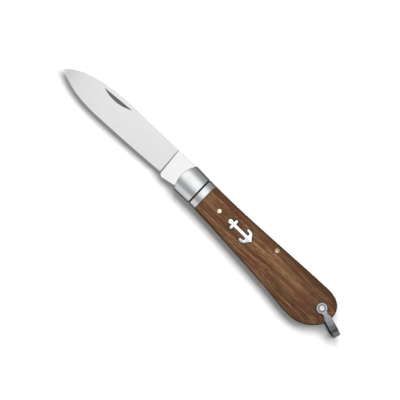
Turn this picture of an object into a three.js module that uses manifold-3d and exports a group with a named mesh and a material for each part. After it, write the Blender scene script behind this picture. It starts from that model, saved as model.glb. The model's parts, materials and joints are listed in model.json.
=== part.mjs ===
// A sailor's slip-joint pocket knife with a shackle: blade open, lying on its right side. Millimetres, +Z up.
// The pieces are drawn about the blade pivot: +X runs to the butt, +Y to the spine and +Z out of the left side,
// the one with the nail nick. The last lines set the finished knife on the plane z = 0, centred on the origin.
import * as THREE from "three";
import { mergeVertices } from "three/addons/utils/BufferGeometryUtils.js";
import Module from "manifold-3d";

const wasm = await Module();
wasm.setup();

// ---- Driving dimensions -------------------------------------------------------------------------------------

// Layers, each measured out from the middle plane of the knife
const TANG_HALF = 1.3; // half the thickness of the blade at its tang
const SLOT_HALF = 1.4; // half the gap between the liners, which the backspring fills
const LINER_OUTER = 2.3; // outer face of a liner, where the scales and bolsters begin
const HANDLE_HALF = 6.2; // flat outer face of the scales and bolsters
const SHACKLE_INNER = 6.35; // inner face of a shackle leg
const SHACKLE_OUTER = 7.45; // outer face of a shackle leg
const RIVET_SEAT = 7.5; // underside of a shackle rivet head
const RIVET_TOP = 8.3; // top of a shackle rivet head
const REACH = 12; // beyond every face, for cutting tools

// Places along the handle
const BUTT_X = 104.2;
const RING_END_X = 11.0; // rear face of the bolsters
const SCALE_START_X = 11.15;
const GROOVE_X = 6.6;
const GROOVE_WIDTH = 0.9;
const GROOVE_DEPTH = 0.6;
const FRONT_RADIUS = 15.2; // plan curve of the bolsters' front
const FRONT_CENTRE = [8.95, 1.2];
const EDGE_ROUNDING = 5.6; // how far the rounding of the handle's long edges reaches in

// Pins and rivets: centre and radius
const PIVOT = { at: [0, 0], r: 1.5 };
const SCALE_PIN = { at: [21.7, 1.1], r: 1.15 };
const SPRING_PIN = { at: [58.4, 7.1], r: 1.25 };
const SHACKLE_RIVET = { at: [96.5, 1.1], r: 1.25, head: 1.65 };
const BOLSTER_PINS = { spine: [3.4, 5.6], belly: [3.4, -3.6], r: 0.8, tip: 4.4 };
const PIN_GAP = 0.03; // radial gap of a pin that is tight in its hole
const RUNNING_GAP = 0.06; // radial gap of a pin that something turns on

// Blade
const SPINE_Y = 9.7;
const TIP = [-90.4, -0.9];
const HEEL = [-15.7, -5.1]; // rear end of the cutting edge
const KICK = [-13.5, -6.9];
const PLUNGE_TOP_X = -16.6; // the plunge line, where the ground faces end at the ricasso
const PLUNGE_FOOT_X = -15.8;
const GROUND_SPINE_HALF = 1.18; // half thickness of the ground blade at its spine
const GROUND_EDGE_HALF = 0.15; // half thickness at the lowest part of the edge
const EDGE_LOW_Y = -6.82;
const CLOSED_ANGLE = 173; // degrees the blade turns from open to shut

// Tang and backspring
const TANG_FLAT = 5.25; // pivot to the flats that the backspring rests on, open and shut
const CAM_RADIUS = 6.1; // pivot to the round end of the tang
const SPRING_FLAT_Y = 5.3; // inner face of the backspring's nose
const NOSE_X = -0.5; // front end of the backspring
const STOP_GAP = 0.05; // blade shoulder to the backspring's end

// Nail nick: a half-moon, deep along its straight side and fading towards the edge
const NICK = { at: [-58.4, 7.45], length: 19, width: 2.0, depth: 0.6, tilt: 3.8 };

// Anchor inlay: its places run along the handle from the front of its ring, and across from its shank's middle
const ANCHOR = {
  at: [28.4, 1.3],
  length: 16.95, // ring to crown
  ring: 1.25, // radius
  shank: 0.88, // half width
  stock: { along: 3.5, half: 2.05, r: 0.78 },
  fluke: { along: 11.45, across: 3.2, r: 0.65 }, // round end of an arm
  shoulder: { along: 15.05, across: 2.15 }, // where an arm's outer curve meets the crown
  throat: 13.25, // bottom of the round notch between arm and shank
  floor: 5.1,
  gap: 0.15, // between the inlay and its pocket
};

// Shackle
const SHACKLE = { angle: -16.5, eye: 2.95, neck: 1.25, band: 1.95, shoulder: 6.4, end: 17.2, bend: 3.8 };

const ROUND = 24; // sides of a round pin or hole
const CURVE = 12; // straight steps in each curve of an outline

// ---- Materials ----------------------------------------------------------------------------------------------

function material(color, roughness, metalness) {
  return new THREE.MeshStandardMaterial({ color, roughness, metalness });
}

const BLADE_STEEL = material(0xdcdbdc, 0.35, 1);
const BOLSTER_STEEL = material(0xcfd2d6, 0.2, 1);
const SPRING_STEEL = material(0xb9bbbe, 0.35, 1);
const LINER_STEEL = material(0xc4c5c8, 0.4, 1);
const SHACKLE_STEEL = material(0x9a9ea4, 0.3, 1);
const BRASS = material(0xd8b878, 0.3, 1);
const NICKEL_SILVER = material(0xf0f2f4, 0.25, 1);
const WOOD = material(0x74502f, 0.5, 0);

// ---- Solids -------------------------------------------------------------------------------------------------

// A closed three.js geometry as a manifold-3d solid.
function solid(geometry) {
  const bare = geometry.index ? geometry.toNonIndexed() : geometry.clone();
  bare.deleteAttribute("normal");
  bare.deleteAttribute("uv");
  const merged = mergeVertices(bare, 1e-4);
  return new wasm.Manifold(
    new wasm.Mesh({
      numProp: 3,
      vertProperties: new Float32Array(merged.attributes.position.array),
      triVerts: new Uint32Array(merged.index.array),
    }),
  );
}

function geometryOf(made) {
  const mesh = made.getMesh();
  const geometry = new THREE.BufferGeometry();
  geometry.setAttribute("position", new THREE.BufferAttribute(mesh.vertProperties, 3));
  geometry.setIndex(new THREE.BufferAttribute(mesh.triVerts, 1));
  geometry.computeVertexNormals();
  return geometry;
}

// A plan outline as a prism between two heights.
function prism(shape, low, high) {
  const options = { depth: high - low, bevelEnabled: false, curveSegments: CURVE };
  return solid(new THREE.ExtrudeGeometry(shape, options).translate(0, 0, low));
}

function box(low, high) {
  const size = high.map((value, axis) => value - low[axis]);
  const centre = high.map((value, axis) => (value + low[axis]) / 2);
  return solid(new THREE.BoxGeometry(...size).translate(...centre));
}

// A round bar along Z.
function bar([x, y], radius, low, high) {
  const made = new THREE.CylinderGeometry(radius, radius, high - low, ROUND).rotateX(Math.PI / 2);
  return solid(made.translate(x, y, (low + high) / 2));
}

function polygon(points) {
  return new THREE.Shape(points.map(([x, y]) => new THREE.Vector2(x, y)));
}

// ---- Handle -------------------------------------------------------------------------------------------------

// Side outline of the handle, drawn square and too long at the front, where it is cut to the bolsters' curve.
function handleOutline() {
  const front = -REACH;
  const shape = new THREE.Shape();
  shape.moveTo(front, 10.35);
  shape.lineTo(-4, 10.25);
  shape.bezierCurveTo(4, 9.9, 10, 9.4, 24, 9.35);
  shape.bezierCurveTo(45, 9.3, 68, 10.6, 91, 10.93);
  shape.bezierCurveTo(99.6, 11.1, BUTT_X, 8, BUTT_X, 0.7);
  shape.bezierCurveTo(BUTT_X, -5.3, 97, -13.7, 86.5, -13.7);
  shape.bezierCurveTo(79, -13.7, 75, -12.4, 66, -11.45);
  shape.bezierCurveTo(50, -10.1, 30, -8.3, 11, -7.3);
  shape.lineTo(-4, -7.3);
  shape.lineTo(front, -7.3);
  return shape;
}

// The whole handle as one body with rounded long edges, before it is parted into its layers. Everything that
// is ground flush with the handle's surface is cut from it. An inset makes it that much smaller all over.
function handleBlank(inset = 0) {
  const options = {
    depth: 2 * LINER_OUTER,
    curveSegments: CURVE,
    bevelThickness: HANDLE_HALF - LINER_OUTER - inset,
    bevelSize: EDGE_ROUNDING,
    bevelOffset: -EDGE_ROUNDING - inset,
    bevelSegments: 5,
  };
  return solid(new THREE.ExtrudeGeometry(handleOutline(), options).translate(0, 0, -LINER_OUTER));
}

// Plan region from the bolsters' curved front to a rear limit.
function behindFront(rear) {
  const [cx, cy] = FRONT_CENTRE;
  const shape = new THREE.Shape();
  shape.moveTo(rear, cy - FRONT_RADIUS);
  shape.lineTo(rear, cy + FRONT_RADIUS);
  shape.lineTo(cx, cy + FRONT_RADIUS);
  shape.absarc(cx, cy, FRONT_RADIUS, Math.PI / 2, (3 * Math.PI) / 2, false);
  return shape;
}

const blank = handleBlank();

// Mirrors a left-side solid to the right side.
function onSide(made, side) {
  return side > 0 ? made : made.mirror([0, 0, 1]);
}

function bolster() {
  const grooveFront = GROOVE_X - GROOVE_WIDTH / 2;
  const band = box([grooveFront, -REACH * 2, -REACH], [grooveFront + GROOVE_WIDTH, REACH * 2, REACH]);
  return blank
    .intersect(prism(behindFront(RING_END_X), LINER_OUTER, REACH))
    .subtract(band.subtract(handleBlank(GROOVE_DEPTH)))
    .subtract(bar(PIVOT.at, PIVOT.r + PIN_GAP, 0, REACH))
    .subtract(bar(BOLSTER_PINS.spine, BOLSTER_PINS.r + PIN_GAP, 0, BOLSTER_PINS.tip + PIN_GAP))
    .subtract(bar(BOLSTER_PINS.belly, BOLSTER_PINS.r + PIN_GAP, 0, BOLSTER_PINS.tip + PIN_GAP));
}

function scale() {
  return blank
    .intersect(box([SCALE_START_X, -REACH * 2, LINER_OUTER], [BUTT_X + REACH, REACH * 2, REACH]))
    .subtract(bar(SCALE_PIN.at, SCALE_PIN.r + PIN_GAP, 0, REACH))
    .subtract(bar(SPRING_PIN.at, SPRING_PIN.r + PIN_GAP, 0, REACH))
    .subtract(bar(SHACKLE_RIVET.at, SHACKLE_RIVET.r + PIN_GAP, 0, REACH));
}

function liner() {
  const holes = [
    [PIVOT.at, PIVOT.r],
    [BOLSTER_PINS.spine, BOLSTER_PINS.r],
    [BOLSTER_PINS.belly, BOLSTER_PINS.r],
    [SCALE_PIN.at, SCALE_PIN.r],
    [SPRING_PIN.at, SPRING_PIN.r],
    [SHACKLE_RIVET.at, SHACKLE_RIVET.r],
  ];
  return holes.reduce(
    (plate, [at, radius]) => plate.subtract(bar(at, radius + PIN_GAP, 0, REACH)),
    blank.intersect(prism(behindFront(BUTT_X + REACH), SLOT_HALF, LINER_OUTER)),
  );
}

// A pin through the whole handle, its ends ground flush.
function throughPin({ at, r }) {
  return bar(at, r, -REACH, REACH).intersect(blank);
}

// A pin from a liner's inner face to the outside of the scale.
function scalePin() {
  return bar(SCALE_PIN.at, SCALE_PIN.r, SLOT_HALF, REACH).intersect(blank);
}

// A hidden pin that ends inside the bolster.
function bolsterPin(at) {
  return bar(at, BOLSTER_PINS.r, SLOT_HALF, BOLSTER_PINS.tip);
}

// ---- Blade and backspring -----------------------------------------------------------------------------------

function onTangFlat(x) {
  const lean = THREE.MathUtils.degToRad(180 - CLOSED_ANGLE);
  return [x, (x * Math.sin(lean) - TANG_FLAT) / Math.cos(lean)];
}

// Side outline of the blade, open: spine, tip, edge, kick and tang.
function bladeOutline() {
  const lean = THREE.MathUtils.degToRad(180 - CLOSED_ANGLE);
  const halfFlat = Math.acos(TANG_FLAT / CAM_RADIUS);
  const shoulderX = NOSE_X - STOP_GAP;
  const shape = new THREE.Shape();
  shape.moveTo(shoulderX, TANG_FLAT);
  shape.lineTo(shoulderX, SPINE_Y);
  shape.lineTo(-50, SPINE_Y);
  shape.bezierCurveTo(-63.8, SPINE_Y, -82.4, 7.7, ...TIP);
  shape.bezierCurveTo(-82.5, -5.5, -72, -7, -61, EDGE_LOW_Y);
  shape.bezierCurveTo(-46, -6.58, -30, -5.95, ...HEEL);
  shape.lineTo(...KICK);
  shape.lineTo(-5.6, -5.35);
  shape.lineTo(...onTangFlat(-4.2));
  shape.absarc(0, 0, CAM_RADIUS, lean - Math.PI / 2 + halfFlat, Math.PI / 2 - halfFlat, false);
  return shape;
}

// What the grinding wheel takes off the left face: all above a plane that falls from spine to edge, as far back
// as the plunge line.
function groundAway() {
  const fall = Math.atan2(GROUND_SPINE_HALF - GROUND_EDGE_HALF, SPINE_Y - EDGE_LOW_Y);
  const above = new THREE.BoxGeometry(300, 100, 20).translate(0, 0, 10);
  above.rotateX(fall).translate(0, EDGE_LOW_Y, GROUND_EDGE_HALF);
  const zone = polygon([
    [TIP[0] - REACH, SPINE_Y + REACH],
    [TIP[0] - REACH, EDGE_LOW_Y - REACH],
    [PLUNGE_FOOT_X, EDGE_LOW_Y - REACH],
    [PLUNGE_FOOT_X, HEEL[1]],
    [PLUNGE_TOP_X, SPINE_Y],
    [PLUNGE_TOP_X, SPINE_Y + REACH],
  ]);
  return prism(zone, -1, REACH).intersect(solid(above));
}

// The half-moon that a disc cuts when it is leaned over: its rim leaves the sloping floor.
function nailNick() {
  const half = NICK.length / 2;
  const section = new THREE.Shape();
  section.moveTo(-half, 0);
  section.quadraticCurveTo(0, -2 * NICK.depth, half, 0);
  section.lineTo(half, 2);
  section.lineTo(-half, 2);
  const options = { depth: 2 * NICK.width, bevelEnabled: false, curveSegments: 24 };
  const cutter = new THREE.ExtrudeGeometry(section, options);
  const floorRise = Math.atan2(NICK.depth, NICK.width);
  const faceFall = (GROUND_SPINE_HALF - GROUND_EDGE_HALF) / (SPINE_Y - EDGE_LOW_Y);
  const surface = GROUND_EDGE_HALF + (NICK.at[1] - EDGE_LOW_Y) * faceFall;
  cutter.rotateX(Math.PI / 2 - floorRise + Math.atan(faceFall));
  cutter.rotateZ(THREE.MathUtils.degToRad(NICK.tilt));
  return solid(cutter.translate(...NICK.at, surface));
}

function blade() {
  const ground = groundAway();
  return prism(bladeOutline(), -TANG_HALF, TANG_HALF)
    .subtract(ground)
    .subtract(ground.mirror([0, 0, 1]))
    .subtract(nailNick())
    .subtract(bar(PIVOT.at, PIVOT.r + RUNNING_GAP, -REACH, REACH));
}

// Plan region of the backspring: everything above its inner edge, which thickens round the spring pin and
// spreads into a tail that the shackle rivet holds.
function springRegion() {
  const shape = new THREE.Shape();
  shape.moveTo(NOSE_X, SPRING_FLAT_Y);
  shape.lineTo(15, SPRING_FLAT_Y);
  shape.bezierCurveTo(28, SPRING_FLAT_Y, 34, 5.6, 42, 5.0);
  shape.bezierCurveTo(52, 3.6, 64, 3.6, 74, 5.6);
  shape.bezierCurveTo(82, 6.4, 86, 4, 88.5, 0);
  shape.bezierCurveTo(90, -3.2, 94, -4.6, 98, -4.8);
  shape.lineTo(BUTT_X + REACH, -4.8);
  shape.lineTo(BUTT_X + REACH, SPINE_Y + REACH);
  shape.lineTo(NOSE_X, SPINE_Y + REACH);
  return shape;
}

function backspring() {
  return blank
    .intersect(prism(springRegion(), -SLOT_HALF, SLOT_HALF))
    .subtract(bar(SPRING_PIN.at, SPRING_PIN.r + PIN_GAP, -REACH, REACH))
    .subtract(bar(SHACKLE_RIVET.at, SHACKLE_RIVET.r + PIN_GAP, -REACH, REACH));
}

// ---- Anchor inlay -------------------------------------------------------------------------------------------

// One arm of the anchor, on the spine side for side 1 and on the belly side for side -1: from the crown's point
// out to the fluke's round end and back round the notch to the shank. Grow makes it that much larger all round.
function anchorArm(side, grow, low) {
  const { length, shank, fluke, shoulder, throat } = ANCHOR;
  const at = (along, across) => [ANCHOR.at[0] + along, ANCHOR.at[1] + side * across];
  const crown = length + Math.SQRT2 * grow;
  const outer = fluke.across + fluke.r + grow;
  const inner = fluke.across - fluke.r - grow;
  const arm = new THREE.Shape();
  arm.moveTo(...at(fluke.along, -shank / 2));
  arm.lineTo(...at(crown - shank / 2, -shank / 2));
  arm.lineTo(...at(crown, 0));
  arm.lineTo(...at(shoulder.along + grow, shoulder.across + grow / 2));
  arm.quadraticCurveTo(...at(shoulder.along - 0.8 + grow, outer + 0.25), ...at(fluke.along, outer));
  arm.lineTo(...at(fluke.along, inner));
  arm.quadraticCurveTo(...at(throat - grow, inner + 0.15), ...at(throat - grow, shank));
  arm.lineTo(...at(fluke.along, shank));
  const end = at(fluke.along, fluke.across);
  return prism(arm, low, REACH).add(bar(end, fluke.r + grow, low, REACH));
}

// The anchor pointing along +X from its ring. A grown copy cuts its pocket.
function anchorPrism(grow, low) {
  const [x, y] = ANCHOR.at;
  const { ring, shank, stock, throat } = ANCHOR;
  const disc = (along, across, r) => bar([x + along, y + across], r + grow, low, REACH);
  const block = (start, end, half) =>
    box([x + start - grow, y - half - grow, low], [x + end + grow, y + half + grow, REACH]);
  return disc(ring, 0, ring)
    .add(block(ring, throat, shank))
    .add(block(stock.along - stock.r, stock.along + stock.r, stock.half))
    .add(disc(stock.along, stock.half, stock.r))
    .add(disc(stock.along, -stock.half, stock.r))
    .add(anchorArm(1, grow, low))
    .add(anchorArm(-1, grow, low));
}

function anchorInlay() {
  return anchorPrism(0, ANCHOR.floor).intersect(blank);
}

function anchorPocket() {
  return anchorPrism(ANCHOR.gap, ANCHOR.floor - PIN_GAP);
}

// ---- Shackle ------------------------------------------------------------------------------------------------

// The U of the strip seen from its edge, in the plane of the rivet: x outwards, y across the handle.
function shackleProfile() {
  const { eye, end, bend } = SHACKLE;
  const thick = SHACKLE_OUTER - SHACKLE_INNER;
  const centre = end - bend;
  const shape = new THREE.Shape();
  shape.moveTo(-eye, -SHACKLE_OUTER);
  shape.lineTo(centre, -SHACKLE_OUTER);
  shape.absarc(centre, bend - SHACKLE_OUTER, bend, -Math.PI / 2, 0, false);
  shape.absarc(centre, SHACKLE_OUTER - bend, bend, 0, Math.PI / 2, false);
  shape.lineTo(-eye, SHACKLE_OUTER);
  shape.lineTo(-eye, SHACKLE_INNER);
  shape.lineTo(centre, SHACKLE_INNER);
  shape.absarc(centre, SHACKLE_OUTER - bend, bend - thick, Math.PI / 2, 0, true);
  shape.absarc(centre, bend - SHACKLE_OUTER, bend - thick, 0, -Math.PI / 2, true);
  shape.lineTo(-eye, -SHACKLE_INNER);
  return shape;
}

// The strip's outline seen from the side of the knife: an eye, a neck and a wide band.
function shackleOutline() {
  const { eye, neck, band, shoulder, end } = SHACKLE;
  const neckAngle = Math.asin((neck + 0.35) / eye);
  const shape = new THREE.Shape();
  shape.moveTo(end + 1, -band);
  shape.lineTo(end + 1, band);
  shape.lineTo(shoulder, band);
  shape.bezierCurveTo(shoulder - 1, band, 4.8, neck, 4.2, neck);
  shape.quadraticCurveTo(3.3, neck, eye * Math.cos(neckAngle), eye * Math.sin(neckAngle));
  shape.absarc(0, 0, eye, neckAngle, 2 * Math.PI - neckAngle, false);
  shape.quadraticCurveTo(3.3, -neck, 4.2, -neck);
  shape.bezierCurveTo(4.8, -neck, shoulder - 1, -band, shoulder, -band);
  return shape;
}

function shackle() {
  const { eye } = SHACKLE;
  const options = { depth: 2 * eye, bevelEnabled: false, curveSegments: 8 };
  const strip = new THREE.ExtrudeGeometry(shackleProfile(), options).rotateX(Math.PI / 2).translate(0, eye, 0);
  return solid(strip)
    .intersect(prism(shackleOutline(), -REACH, REACH))
    .subtract(bar([0, 0], SHACKLE_RIVET.r + RUNNING_GAP, -REACH, REACH));
}

// The rivet's outline from its axis out: shank and two low domed heads with a dimple left by the peening.
function shackleRivet() {
  const { r, head } = SHACKLE_RIVET;
  const dimple = 0.25;
  const dome = [
    [r, 0],
    [r, RIVET_SEAT],
    [head, RIVET_SEAT],
    [head, RIVET_SEAT + 0.35],
    [head * 0.85, RIVET_TOP - 0.12],
    [head * 0.55, RIVET_TOP],
    [head * 0.3, RIVET_TOP - 0.06],
    [0, RIVET_TOP - dimple],
  ];
  const lower = dome.map(([radius, z]) => [radius, -z]).reverse();
  const outline = [...lower, ...dome.slice(1)].map(([radius, z]) => new THREE.Vector2(radius, z));
  return solid(new THREE.LatheGeometry(outline, ROUND).rotateX(Math.PI / 2));
}

// ---- Assembly -----------------------------------------------------------------------------------------------

const knife = new THREE.Group();

function place(name, made, finish, at = [0, 0]) {
  const mesh = new THREE.Mesh(geometryOf(made), finish);
  mesh.name = name;
  mesh.position.set(at[0], at[1], 0);
  knife.add(mesh);
  return mesh;
}

for (const [name, side] of [["left", 1], ["right", -1]]) {
  const wood = side > 0 ? scale().subtract(anchorPocket()) : scale();
  place(`scale_${name}`, onSide(wood, side), WOOD);
  place(`bolster_${name}`, onSide(bolster(), side), BOLSTER_STEEL);
  place(`liner_${name}`, onSide(liner(), side), LINER_STEEL);
  place(`scale_pin_${name}`, onSide(scalePin(), side), BRASS);
  place(`bolster_pin_spine_${name}`, onSide(bolsterPin(BOLSTER_PINS.spine), side), SPRING_STEEL);
  place(`bolster_pin_belly_${name}`, onSide(bolsterPin(BOLSTER_PINS.belly), side), SPRING_STEEL);
}
place("anchor_inlay", anchorInlay(), NICKEL_SILVER);
place("blade", blade(), BLADE_STEEL);
place("backspring", backspring(), SPRING_STEEL);
place("pivot_pin", throughPin(PIVOT), BOLSTER_STEEL);
place("spring_pin", throughPin(SPRING_PIN), BRASS);
place("shackle_rivet", shackleRivet(), SHACKLE_STEEL, SHACKLE_RIVET.at);
const swung = place("shackle", shackle(), SHACKLE_STEEL, SHACKLE_RIVET.at);
swung.rotation.z = THREE.MathUtils.degToRad(SHACKLE.angle);

const extent = new THREE.Box3().setFromObject(knife, true);
const middle = extent.getCenter(new THREE.Vector3());
knife.position.set(-middle.x, -middle.y, -extent.min.z);

export default knife;
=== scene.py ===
"""A sailor's slip-joint knife with a shackle, lying open on a pale floor.

The pieces are drawn in millimetres about the blade pivot: X to the butt, Y to the spine and Z out of the left
side. They are put in the frame, in metres, when finished.
"""

import json
import math

import bmesh
import bpy
import numpy as np
from mathutils import Matrix, Vector
from mathutils.geometry import intersect_line_line_2d


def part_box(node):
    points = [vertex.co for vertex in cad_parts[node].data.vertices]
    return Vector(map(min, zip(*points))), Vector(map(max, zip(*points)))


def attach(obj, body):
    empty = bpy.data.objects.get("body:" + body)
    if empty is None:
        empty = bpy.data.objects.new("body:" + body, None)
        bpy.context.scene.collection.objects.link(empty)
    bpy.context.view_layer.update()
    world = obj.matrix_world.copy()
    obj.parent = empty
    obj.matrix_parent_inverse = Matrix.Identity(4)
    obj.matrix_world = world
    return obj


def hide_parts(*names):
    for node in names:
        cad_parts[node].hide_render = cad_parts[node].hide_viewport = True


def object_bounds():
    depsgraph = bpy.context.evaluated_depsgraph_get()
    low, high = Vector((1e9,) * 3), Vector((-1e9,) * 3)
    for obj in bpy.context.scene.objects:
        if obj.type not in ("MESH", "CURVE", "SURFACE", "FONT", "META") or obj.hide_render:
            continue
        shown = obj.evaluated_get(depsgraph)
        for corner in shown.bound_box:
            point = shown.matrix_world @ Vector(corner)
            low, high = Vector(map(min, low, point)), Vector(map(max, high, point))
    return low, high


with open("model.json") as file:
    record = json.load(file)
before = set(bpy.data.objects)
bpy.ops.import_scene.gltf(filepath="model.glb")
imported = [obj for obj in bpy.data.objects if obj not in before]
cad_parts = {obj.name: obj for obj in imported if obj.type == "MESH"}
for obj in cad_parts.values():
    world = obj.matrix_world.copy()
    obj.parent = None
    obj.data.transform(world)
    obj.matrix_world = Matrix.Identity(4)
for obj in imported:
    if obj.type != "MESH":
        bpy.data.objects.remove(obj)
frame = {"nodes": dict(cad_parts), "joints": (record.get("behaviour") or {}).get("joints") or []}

CAD_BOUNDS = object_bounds()

# ---- Places and sizes from the frame -------------------------

MM = 0.001
JOINT_PLACES = {joint["name"]: Vector(joint["pos_m"]) for joint in frame["joints"]}
PIVOT = JOINT_PLACES["blade_fold"]
RIVET = (JOINT_PLACES["shackle_swing"] - PIVOT) / MM


def cad_box(cad_name):
    """Lowest and highest corner of a CAD node, in millimetres about the pivot."""
    low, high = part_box(cad_name)
    return (low - PIVOT) / MM, (high - PIVOT) / MM


def round_pin(cad_name):
    """Middle and radius of an upright CAD pin."""
    low, high = cad_box(cad_name)
    return (low + high).to_2d() / 2, (high.x - low.x) / 2


SLOT_HALF = cad_box("liner_left")[0].z
LINER_OUTER = cad_box("liner_left")[1].z
HANDLE_HALF = cad_box("scale_left")[1].z
BUTT_X = cad_box("scale_left")[1].x
SCALE_START_X = cad_box("scale_left")[0].x
RING_END_X = cad_box("bolster_left")[1].x
BOLSTER_FRONT_X = cad_box("bolster_left")[0].x
TANG_HALF = cad_box("blade")[1].z
SPINE_Y = cad_box("blade")[1].y
TIP_X = cad_box("blade")[0].x
CAM_RADIUS = cad_box("blade")[1].x
NOSE_X = cad_box("backspring")[0].x
RIVET_TOP = cad_box("shackle_rivet")[1].z
SHACKLE_OUTER = cad_box("shackle")[1].z

# ---- Dimensions of the finer shapes, in millimetres ----------

CROWN = 2.15  # exponent of the handle's cross-section: 2 is an ellipse, more is squarer
MIDDLE_END_X = 90.0  # where the handle's middle line ends and the butt is round about it
FRONT_RADIUS = 15.2  # plan curve of the bolsters' front
FRONT_MIDDLE_Y = 1.2
GROOVE_X = 6.6
GROOVE_HALF = 0.45
GROOVE_DEPTH = 0.5
LIP = 0.12  # rounded lips of the groove
BOLSTER_EDGE = 0.3
RING_EDGE = 0.12
STRAIGHT_X = GROOVE_X - 1.5  # ahead of here the bolster's mesh curves with its front

TIP_Y = -0.9
SPINE_DROP_X = -50.0  # where the spine starts to fall to the tip
BELLY_FOOT = (-61, -6.82)  # where the cutting edge starts to rise to the tip
HEEL = (-15.7, -5.1)
KICK = (-13.5, -6.9)
KICK_END = (-5.6, -5.35)
TANG_START_X = -4.2
PLUNGE_TOP_X = -16.6
PLUNGE_LEAN = 0.75  # how much further back the plunge line is at its foot
PLUNGE_WIDTHS = (0.5, 0.85)  # of its curved wall, at the spine and at the foot
LEANING_ROWS = (-24.0, -11.0)  # between these the blade's mesh leans with the plunge line
GROUND_SPINE_HALF = 1.18
GROUND_EDGE_HALF = 0.16
TAPER_START_X = -62.0
TIP_TAPER = 0.45  # share of its thickness that the blade loses from there to its tip
KEEN_HALF = 0.02
EDGE_BEVEL = 0.5
KICK_BEVEL = 0.25
CHAMFER = 0.09
TANG_FLAT = 5.25
TANG_LEAN = math.radians(7)
SHOULDER_GAP = 0.05
NICK = {"at": (-58.4, 7.45), "length": 19.0, "width": 2.0, "depth": 0.6, "tilt": math.radians(3.8)}

ANCHOR = {
    "lean": math.radians(-1.2),
    "ring": 1.38,
    "shank": 0.9,
    "stock": (3.66, 2.2),
    "stock_round": 0.8,
    "fluke": (11.5, 3.36),
    "fluke_round": 0.76,
    "throat": 13.3,
}
ANCHOR_LOW, ANCHOR_HIGH = cad_box("anchor_inlay")
ANCHOR_LENGTH = ANCHOR_HIGH.x - ANCHOR_LOW.x
ANCHOR_SHIFT = 0.22  # towards the belly
ANCHOR_ORIGIN = Vector((ANCHOR_LOW.x, (ANCHOR_LOW.y + ANCHOR_HIGH.y) / 2 - ANCHOR_SHIFT))
ANCHOR_GAP = 0.42
ANCHOR_FLOOR = 5.1
ANCHOR_BEVEL = 0.12
PIN_GAP = 0.06
PROUD = 0.05  # how far polished metal stands above the wood
PIN_RINGS = ((0, 0), (0.3, 0), (0.6, 0), (0.85, 0), (0.95, 0.015), (1, 0.06))  # share of its radius, and drop
PIN_STEPS = 48
PIVOT_PIN_HALF = HANDLE_HALF - 0.3
CLEAR_Z = HANDLE_HALF + 2  # above the wood
PLATE_BEVEL = 0.07

STRIP = 1.1  # thickness of the shackle's strip
SHACKLE_ANGLE = math.radians(-16.5)
STRIP_BEVEL = 0.3
EYE = 2.95
EYE_HOLE = 1.32
EYE_DISH = 2.12
DISH_DEPTH = 0.2
NECK = 1.25
NECK_FLARE = 0.35
BAND = 1.95
BAND_START = 6.4  # where the strip reaches the band's width
SHACKLE_END = 17.2  # how far the bow reaches from the rivet
BOW_RADIUS = 0.9  # of the two tight bends on each side of the bow
BOW_SLOPE = 3.25  # how far the slope between those bends goes outwards, and down
SKEW = math.radians(3.4)  # the far leg hangs a little askew
RIVET_SHANK = 1.25
RIVET_SEAT = 0.15  # how far its heads reach into the dished eyes
RIVET_RIM = ((0.12, 0), (0, 0.14), (0.02, 0.4))  # inset from a head's edge, and height above its seat
RIVET_CROWN = (  # share of a head's radius, and depth under its top
    (0.93, 0.22), (0.84, 0.09), (0.7, 0.02), (0.5, 0), (0.3, 0.02), (0.15, 0.12), (0, 0.15)
)

# ---- Curves --------------------------------------------------


def bezier(start, control_a, control_b, end, steps=32):
    """Points of a cubic curve after its start."""
    t = np.linspace(0, 1, steps + 1)[1:, None]
    a, b, c, d = (np.array(p, float) for p in (start, control_a, control_b, end))
    points = a * (1 - t) ** 3 + 3 * b * t * (1 - t) ** 2 + 3 * c * t**2 * (1 - t) + d * t**3
    return [tuple(p) for p in points]


def quadratic(start, control, end, steps):
    a, b, c = (np.array(p, float) for p in (start, control, end))
    return bezier(a, a + (b - a) * 2 / 3, c + (b - c) * 2 / 3, c, steps)


def arc(middle, radius, start, end, steps):
    """Points of an arc from one angle to another, in radians."""
    angles = np.linspace(start, end, steps + 1)
    return [(middle[0] + radius * math.cos(a), middle[1] + radius * math.sin(a)) for a in angles]


def height_at(points, x):
    """Y of a curve at x, where its points run one way along X."""
    ordered = sorted(points)
    return float(np.interp(x, [p[0] for p in ordered], [p[1] for p in ordered]))


# Side outline of the handle: along the spine to the butt's end, and from there back along the belly
SPINE_SIDE = (
    [(-12, 10.35), (-4, 10.25)]
    + bezier((-4, 10.25), (4, 9.9), (10, 9.4), (24, 9.35))
    + bezier((24, 9.35), (45, 9.3), (68, 10.6), (91, 10.93), 64)
    + bezier((91, 10.93), (99.6, 11.1), (BUTT_X, 8), (BUTT_X, 0.7), 64)
)
BELLY_SIDE = (
    bezier((BUTT_X, 0.7), (BUTT_X, -5.3), (97, -13.7), (86.5, -13.7), 64)
    + bezier((86.5, -13.7), (79, -13.7), (75, -12.4), (66, -11.45))
    + bezier((66, -11.45), (50, -10.1), (30, -8.3), (11, -7.3), 64)
    + [(-4, -7.3), (-12, -7.3)]
)
OUTLINE = SPINE_SIDE + BELLY_SIDE


def middle_and_half(x):
    """Middle line of the handle and half its width at x, ahead of the round butt."""
    top, bottom = height_at(SPINE_SIDE, x), height_at(BELLY_SIDE, x)
    return (top + bottom) / 2, (top - bottom) / 2


def surface_z(x, y):
    """Height of the handle's left surface, ahead of the round butt."""
    middle, half = middle_and_half(x)
    across = min(1, abs(y - middle) / half)
    return LINER_OUTER + (HANDLE_HALF - LINER_OUTER) * (1 - across**CROWN) ** (1 / CROWN)


def front_x(y):
    """The bolsters' curved front."""
    return BOLSTER_FRONT_X + FRONT_RADIUS - math.sqrt(FRONT_RADIUS**2 - (y - FRONT_MIDDLE_Y) ** 2)


# ---- Meshes --------------------------------------------------


def add_object(name, data):
    made = bpy.data.objects.new(name, data)
    bpy.context.scene.collection.objects.link(made)
    return made


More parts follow.
